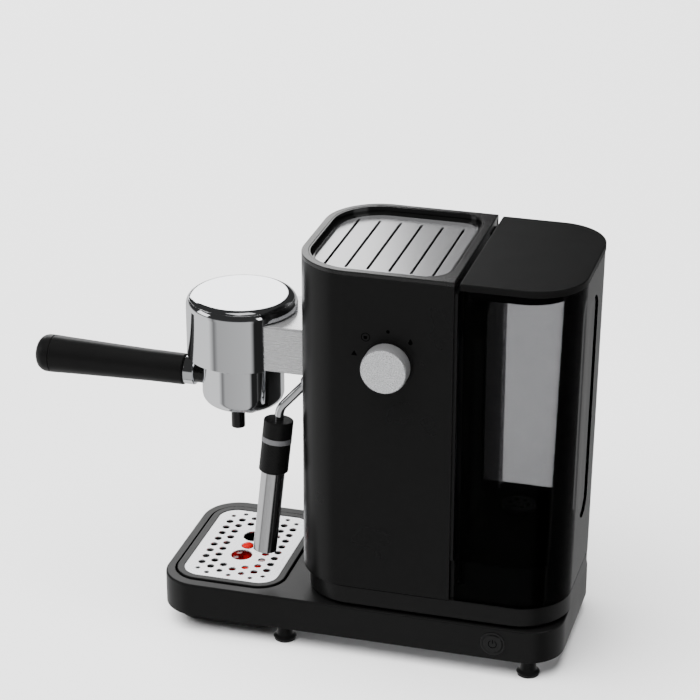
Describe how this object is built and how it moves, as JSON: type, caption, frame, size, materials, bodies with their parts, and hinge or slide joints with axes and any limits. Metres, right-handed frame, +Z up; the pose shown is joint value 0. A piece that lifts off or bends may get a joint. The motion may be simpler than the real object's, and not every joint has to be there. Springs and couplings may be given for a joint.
{
  "type": "espresso machine",
  "caption": "Slim upright espresso machine with a side group head, bayonet filter holder, steam wand, side water tank, selector knob, cup-warming top and lift-out drip tray.",
  "frame": {"origin": "on the counter, below the middle of the machine's bounding box", "axes": "+X from the filter holder's handle to the water tank, +Y away from the side that carries the knob, +Z up"},
  "size_m": [0.4346, 0.1552, 0.312],
  "materials": {
    "satin_black": "satin black enamel",
    "black_plastic": "fine satin moulded plastic",
    "gloss_black": "smooth moulded plastic",
    "chrome": "polished chrome plate",
    "steel": "brushed stainless steel",
    "pressed_steel": "plain pressed steel",
    "aluminium": "as cast",
    "silver_plate": "satin silver",
    "brass": "machined brass",
    "rubber": "plain black rubber",
    "silicone": "translucent silicone hose",
    "smoke": "smoky transparent plastic",
    "red": "glossy red plastic",
    "grey_plastic": "plain grey plastic",
    "board": "coated circuit board"
  },
  "bodies": {
    "machine": {"base_housing": "black_plastic", "bottom_plate": "pressed_steel", "base_screws": "pressed_steel", "feet": "black_plastic", "foot_pads": "rubber", "button_bezel": "gloss_black", "power_switch": "black_plastic", "cord_gland": "rubber", "plinth": "black_plastic", "tank_seat": "black_plastic", "inlet_nipple": "black_plastic", "suction_hose": "silicone", "column_shell": "satin_black", "side_panel": "black_plastic", "tank_hook": "black_plastic", "top_frame": "black_plastic", "cup_warmer_plate": "silver_plate", "warmer_trim": "gloss_black", "chassis": "pressed_steel", "arm_bracket": "pressed_steel", "pump": "black_plastic", "pump_mounts": "rubber", "pressure_hose": "silicone", "thermoblock": "aluminium", "steam_valve": "brass", "steam_pipe": "brass", "brew_pipe": "brass", "selector_switch": "black_plastic", "control_board": "board", "knob_ring": "gloss_black", "group_arm": "steel", "group_shell": "chrome", "brew_head": "aluminium", "group_gasket": "rubber", "shower_screen": "steel", "shower_screw": "steel", "bayonet_ring": "aluminium", "wand_socket": "black_plastic"},
    "portafilter": {"portafilter_cup": "chrome", "lock_collar": "chrome", "filter_basket": "steel", "basket_spring": "steel", "spouts": "gloss_black", "handle_joint": "gloss_black", "handle_neck": "chrome", "handle": "black_plastic"},
    "steam_wand": {"wand_pipe": "chrome", "wand_grip": "black_plastic", "wand_band": "grey_plastic", "wand_sleeve": "steel"},
    "knob": {"knob": "silver_plate"},
    "power_button": {"power_button": "gloss_black"},
    "water_tank": {"tank_body": "smoke", "valve_cage": "black_plastic"},
    "tank_valve": {"tank_valve": "black_plastic"},
    "tank_lid": {"tank_lid": "black_plastic"},
    "drip_tray": {"tray_body": "black_plastic"},
    "drip_grid": {"drip_grid": "silver_plate"},
    "level_float": {"level_float": "red"}
  },
  "joints": [
    {"name": "portafilter_turn", "type": "hinge", "parent": "machine", "child": "portafilter", "pos_m": [-0.05045, 0.00645, 0.218], "axis": [0, 0, 1], "range_deg": [-45, 0]},
    {"name": "wand_swivel", "type": "hinge", "parent": "machine", "child": "steam_wand", "pos_m": [0.00835, -0.01855, 0.2017], "axis": [0, 0, 1], "range_deg": [0, 45]},
    {"name": "knob_turn", "type": "hinge", "parent": "machine", "child": "knob", "pos_m": [0.08155, -0.06355, 0.2436], "axis": [0, 1, 0], "range_deg": [-76, 40]},
    {"name": "button_press", "type": "slide", "parent": "machine", "child": "power_button", "axis": [0, 1, 0], "range_m": [0, 0.002], "stiffness_N_per_m": 600, "springref_m": -0.001},
    {"name": "tank_lift", "type": "slide", "parent": "machine", "child": "water_tank", "axis": [0, 0, 1], "range_m": [0, 0.108]},
    {"name": "tank_valve_lift", "type": "slide", "parent": "water_tank", "child": "tank_valve", "axis": [0, 0, 1], "range_m": [0, 0.003], "stiffness_N_per_m": 100},
    {"name": "lid_lift", "type": "slide", "parent": "water_tank", "child": "tank_lid", "axis": [0, 0, 1], "range_m": [0, 0.056]},
    {"name": "tray_lift", "type": "slide", "parent": "machine", "child": "drip_tray", "axis": [0, 0, 1], "range_m": [0, 0.012]},
    {"name": "grid_lift", "type": "slide", "parent": "drip_tray", "child": "drip_grid", "axis": [0, 0, 1], "range_m": [0, 0.005]},
    {"name": "float_rise", "type": "slide", "parent": "drip_tray", "child": "level_float", "axis": [0, 0, 1], "range_m": [0, 0.008]}
  ]
}
